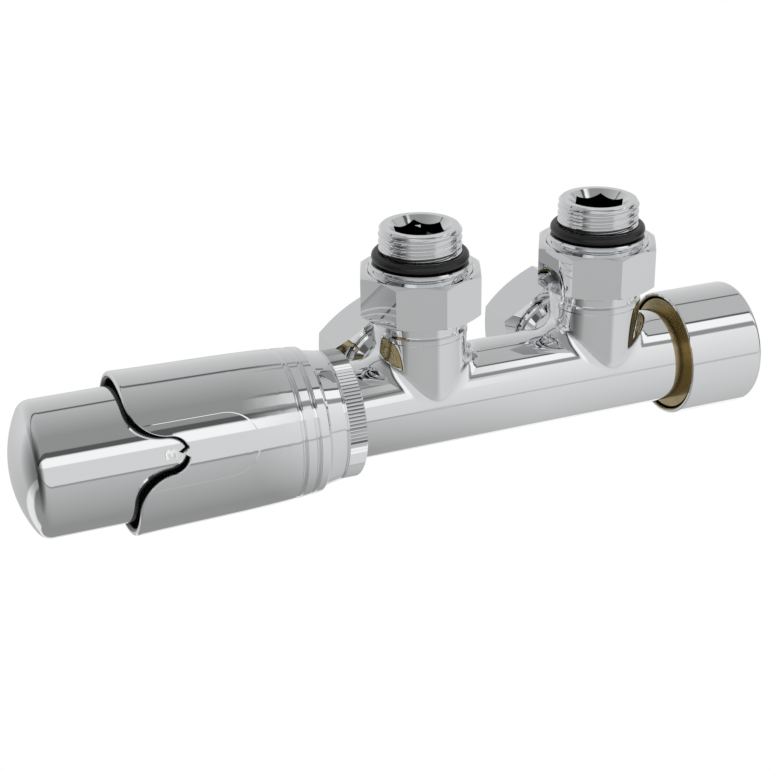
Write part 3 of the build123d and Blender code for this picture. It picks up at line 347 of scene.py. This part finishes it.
def studio():
    """White world, a paper floor far below, and a tent of panels that the chrome mirrors."""
    world = bpy.data.worlds.new("studio_world")
    bpy.context.scene.world = world
    world.use_nodes = True
    world.node_tree.nodes["Background"].inputs["Color"].default_value = (1, 1, 1, 1)
    world.node_tree.nodes["Background"].inputs["Strength"].default_value = 1.0
    # Floor: white paper, which the camera sees as plain white
    bm = bmesh.new()
    bmesh.ops.create_grid(bm, x_segments=1, y_segments=1, size=FLOOR_HALF)
    bmesh.ops.translate(bm, verts=bm.verts, vec=(0, 0, -FLOOR_DROP))
    floor = link_mesh(bm, "floor")
    floor_material, tree, shader = new_material("floor_paper",
                                                {"Base Color": (0.97, 0.97, 0.97, 1), "Roughness": 0.9})
    seen = add_node(tree, "ShaderNodeLightPath")
    bright = add_node(tree, "ShaderNodeEmission", {"Color": (1, 1, 1, 1), "Strength": 1.0})
    blend = add_node(tree, "ShaderNodeMixShader",
                     links={0: seen.outputs["Is Camera Ray"], 1: shader.outputs["BSDF"], 2: bright.outputs[0]})
    tree.links.new(blend.outputs[0], tree.nodes["Material Output"].inputs["Surface"])
    floor.data.materials.append(floor_material)
    # Tent: only mirrored, so it adds no light to dull surfaces and the camera looks through it
    bm = bmesh.new()
    bmesh.ops.create_uvsphere(bm, u_segments=64, v_segments=32, radius=TENT_R)
    tent = link_mesh(bm, "studio_tent")
    tent.visible_camera = False
    tent.visible_diffuse = False
    tent.visible_shadow = False
    tent.visible_transmission = False
    material = bpy.data.materials.new("tent_panels")
    material.use_nodes = True
    tree = material.node_tree
    tree.nodes.clear()
    coordinates = add_node(tree, "ShaderNodeTexCoord")
    split = add_node(tree, "ShaderNodeSeparateXYZ", links={0: coordinates.outputs["Object"]})
    forward = add_node(tree, "ShaderNodeMath", {"operation": "MULTIPLY", 1: -1.0}, {0: split.outputs["Y"]})
    angle = add_node(tree, "ShaderNodeMath", {"operation": "ARCTAN2"}, {0: split.outputs["Z"], 1: forward.outputs[0]})
    share = add_node(tree, "ShaderNodeMapRange", {"From Min": -pi, "From Max": pi}, {"Value": angle.outputs[0]})
    middle = add_node(tree, "ShaderNodeValToRGB", links={"Fac": share.outputs["Result"]})
    fill_ramp(middle.color_ramp, MIDDLE_PANELS)
    window = add_node(tree, "ShaderNodeValToRGB", links={"Fac": share.outputs["Result"]})
    fill_ramp(window.color_ramp, WINDOW_PANELS)
    # The window side takes over to the right of the middle
    side = add_node(tree, "ShaderNodeMapRange", {"From Min": 0.27 * TENT_R, "From Max": 0.42 * TENT_R},
                    {"Value": split.outputs["X"]})
    blend = add_node(tree, "ShaderNodeMix", {"data_type": "FLOAT"},
                     {0: side.outputs["Result"], 2: middle.outputs["Color"], 3: window.outputs["Color"]})
    # Dark cards stand at the tent's two ends
    left = add_node(tree, "ShaderNodeMapRange", {"From Min": -2.15, "From Max": -1.6, "To Min": 0.12, "To Max": 1.0},
                    {"Value": split.outputs["X"]})
    right = add_node(tree, "ShaderNodeMapRange", {"From Min": 2.05, "From Max": 2.17, "To Min": 1.0, "To Max": 0.12},
                     {"Value": split.outputs["X"]})
    ends = add_node(tree, "ShaderNodeMath", {"operation": "MULTIPLY"}, {0: left.outputs[0], 1: right.outputs[0]})
    total = add_node(tree, "ShaderNodeMath", {"operation": "MULTIPLY"}, {0: blend.outputs[0], 1: ends.outputs[0]})
    glow = add_node(tree, "ShaderNodeEmission", {"Color": (1, 1, 1, 1)}, {"Strength": total.outputs[0]})
    add_node(tree, "ShaderNodeOutputMaterial", links={"Surface": glow.outputs[0]})
    tent.data.materials.append(material)


# Brightness of what stands round the set
WHITE, BRIGHT, PALE, GREY, DIM, BLACK = 1.0, 0.85, 0.7, 0.5, 0.3, 0.1
PANEL_EDGE = 0.7

# A usual studio set-up round the middle of the tent, from straight behind, under the table, up the front and over the
# top: what stands there, the angle where it starts (degrees from straight ahead), and its brightness at both ends
MIDDLE_PANELS = [
    ("wall behind, below", -180, PALE, GREY), ("strip light behind", -140, BRIGHT, BRIGHT),
    ("table's shadow", -132, DIM, DIM), ("table", -90, DIM, GREY), ("table's edge", -8, DIM, DIM),
    ("front wall", -5, PALE, PALE), ("softbox", 26, WHITE, WHITE), ("black flag", 41, BLACK, BLACK),
    ("near ceiling", 50, DIM, DIM), ("far ceiling", 75, DIM, GREY), ("ceiling's edge", 125, BLACK, BLACK),
    ("wall behind", 129, GREY, PALE)]
# The same on the window side, to the right
WINDOW_PANELS = [
    ("wall behind, below", -180, PALE, PALE), ("low window behind", -140, WHITE, WHITE), ("table", -125, GREY, PALE),
    ("table's edge", -8, GREY, GREY), ("front wall", -5, PALE, BRIGHT), ("window's frame", 46, DIM, DIM),
    ("window", 55, WHITE, WHITE), ("window's head", 71, BLACK, BLACK), ("ceiling", 75, GREY, GREY),
    ("ceiling's edge", 117, BLACK, BLACK), ("wall behind", 120, GREY, PALE)]


def fill_ramp(ramp, panels):
    """Sets a ramp so that each panel runs from its own start to the next one's, with narrow soft edges."""
    starts = [panel[1] for panel in panels] + [180]
    stops = []
    for (_, start, first, last), end in zip(panels, starts[1:]):
        stops += [(start + PANEL_EDGE, first), (end - PANEL_EDGE, last)]
    while len(ramp.elements) > 1:
        ramp.elements.remove(ramp.elements[-1])
    for index, (angle, level) in enumerate(stops):
        place = (angle + 180) / 360
        element = ramp.elements[0] if index == 0 else ramp.elements.new(place)
        element.position = place
        element.color = (level, level, level, 1)


def link_mesh(bm, name):
    """Writes a bmesh to a new object in the scene."""
    mesh = bpy.data.meshes.new(name)
    bm.to_mesh(mesh)
    bm.free()
    obj = bpy.data.objects.new(name, mesh)
    bpy.context.scene.collection.objects.link(obj)
    return obj


def thread_ridge(axis_x):
    """One ridge of the pipe thread, wound round an upright axis and cut flat at both ends."""
    root = NIPPLE_THREAD_R - NIPPLE_THREAD_DEPTH
    flank, crest = NIPPLE_THREAD_R - 0.22, NIPPLE_THREAD_R - 0.05
    profile = [(root - THREAD_OVERRUN, -0.47), (root, -0.45), (flank, -0.16), (crest, -0.09), (NIPPLE_THREAD_R, 0.0),
               (crest, 0.09), (flank, 0.16), (root, 0.45), (root - THREAD_OVERRUN, 0.47)]
    start = NIPPLE_THREAD_LOW - THREAD_PITCH
    turns = (NIPPLE_THREAD_TOP - NIPPLE_THREAD_LOW) / THREAD_PITCH + 2
    steps = int(64 * turns)
    bm = bmesh.new()
    verts = [bm.verts.new(((axis_x + r) * MM, 0, (start + share * THREAD_PITCH) * MM)) for r, share in profile]
    edges = [bm.edges.new((verts[i - 1], verts[i])) for i in range(len(verts))]
    bmesh.ops.spin(bm, geom=verts + edges, cent=(axis_x * MM, 0, 0), axis=(0, 0, 1), angle=2 * pi * turns, steps=steps,
                   dvec=(0, 0, turns * THREAD_PITCH * MM / steps))
    for low, up in ((NIPPLE_THREAD_LOW + 0.02, -1), (NIPPLE_THREAD_TOP - 0.05, 1)):
        cut = bmesh.ops.bisect_plane(bm, geom=bm.verts[:] + bm.edges[:] + bm.faces[:],
                                     plane_co=(0, 0, low * MM), plane_no=(0, 0, up), clear_outer=True)
        rim = [e for e in cut["geom_cut"] if isinstance(e, bmesh.types.BMEdge)]
        bmesh.ops.holes_fill(bm, edges=rim, sides=0)
    # Lead-in chamfer
    for vert in bm.verts:
        spoke = Vector((vert.co.x - axis_x * MM, vert.co.y))
        limit = (NIPPLE_THREAD_R - max(0.0, vert.co.z / MM - NIPPLE_THREAD_CHAMFER)) * MM
        if spoke.length > limit:
            spoke = spoke.normalized() * limit
            vert.co.x = axis_x * MM + spoke.x
            vert.co.y = spoke.y
    bmesh.ops.recalc_face_normals(bm, faces=bm.faces)
    return bm


def threaded_nipple(side):
    """The nipple with its radiator thread cut: its blank band drawn in to the root, and the ridge wound round it."""
    node = f"radiator_nipple_{side}"
    axis_x = BRANCH_X[side]
    bm = bmesh.new()
    bm.from_mesh(nodes[node].data)
    bmesh.ops.remove_doubles(bm, verts=bm.verts, dist=0.002 * MM)
    root = (NIPPLE_THREAD_R - NIPPLE_THREAD_DEPTH) * MM
    for vert in bm.verts:
        spoke = Vector((vert.co.x - axis_x * MM, vert.co.y))
        if vert.co.z > (NIPPLE_THREAD_LOW - 0.01) * MM and spoke.length > root:
            spoke = spoke.normalized() * root
            vert.co.x = axis_x * MM + spoke.x
            vert.co.y = spoke.y
    ridge = bpy.data.meshes.new("ridge")
    ridge_bm = thread_ridge(axis_x)
    ridge_bm.to_mesh(ridge)
    ridge_bm.free()
    bm.from_mesh(ridge)
    obj = link_mesh(bm, f"threaded_nipple_{side}")
    clear_normals(obj.data)
    obj.data.materials.append(chrome_on_brass)
    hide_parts(node)
    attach(obj, "valve")


def clear_normals(mesh):
    """Drops the copied corner normals and shades smooth up to the sharp angle."""
    if "custom_normal" in mesh.attributes:
        mesh.attributes.remove(mesh.attributes["custom_normal"])
    for face in mesh.polygons:
        face.use_smooth = True
    mesh.set_sharp_from_angle(angle=radians(SHARP_ANGLE))


def dial_number(text, angle):
    """A plain number printed on the knob's skirt, its top towards the dome and bent round the skirt."""
    curve = bpy.data.curves.new(f"dial_{text}", "FONT")
    curve.body = text
    curve.offset = DIGIT_BOLD
    curve.fill_mode = "FRONT"
    shape = bpy.data.objects.new(f"dial_curve_{text}", curve)
    bpy.context.scene.collection.objects.link(shape)
    bpy.context.view_layer.update()
    mesh = bpy.data.meshes.new_from_object(shape.evaluated_get(bpy.context.evaluated_depsgraph_get()))
    bpy.data.objects.remove(shape)
    bm = bmesh.new()
    bm.from_mesh(mesh)
    bmesh.ops.triangulate(bm, faces=bm.faces)
    bmesh.ops.subdivide_edges(bm, edges=bm.edges, cuts=3, use_grid_fill=True)
    bmesh.ops.triangulate(bm, faces=bm.faces)
    low_u, high_u = min(v.co.x for v in bm.verts), max(v.co.x for v in bm.verts)
    low_v, high_v = min(v.co.y for v in bm.verts), max(v.co.y for v in bm.verts)
    tall = DIGIT_TALL / (high_v - low_v)
    wide = DIGIT_WIDE / (high_u - low_u) if text != "1" else tall
    for vert in bm.verts:
        across = (vert.co.x - (low_u + high_u) / 2) * wide
        along = (vert.co.y - (low_v + high_v) / 2) * tall
        turn = radians(angle) + across / KNOB_R
        reach = KNOB_R + DIGIT_LIFT
        vert.co = Vector((DIGIT_X - along, -reach * cos(turn), reach * sin(turn))) * MM
    obj = link_mesh(bm, f"dial_number_{text}")
    obj.data.materials.append(dial_paint)
    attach(obj, "knob")


for side_name in BRANCH_X:
    threaded_nipple(side_name)
for setting in range(SETTINGS):
    dial_number(str(setting), WINDOW_ANGLE + (SHOWN_SETTING - setting) * SETTING_ANGLE)
studio()
scene = bpy.context.scene
scene.view_settings.view_transform = "Standard"
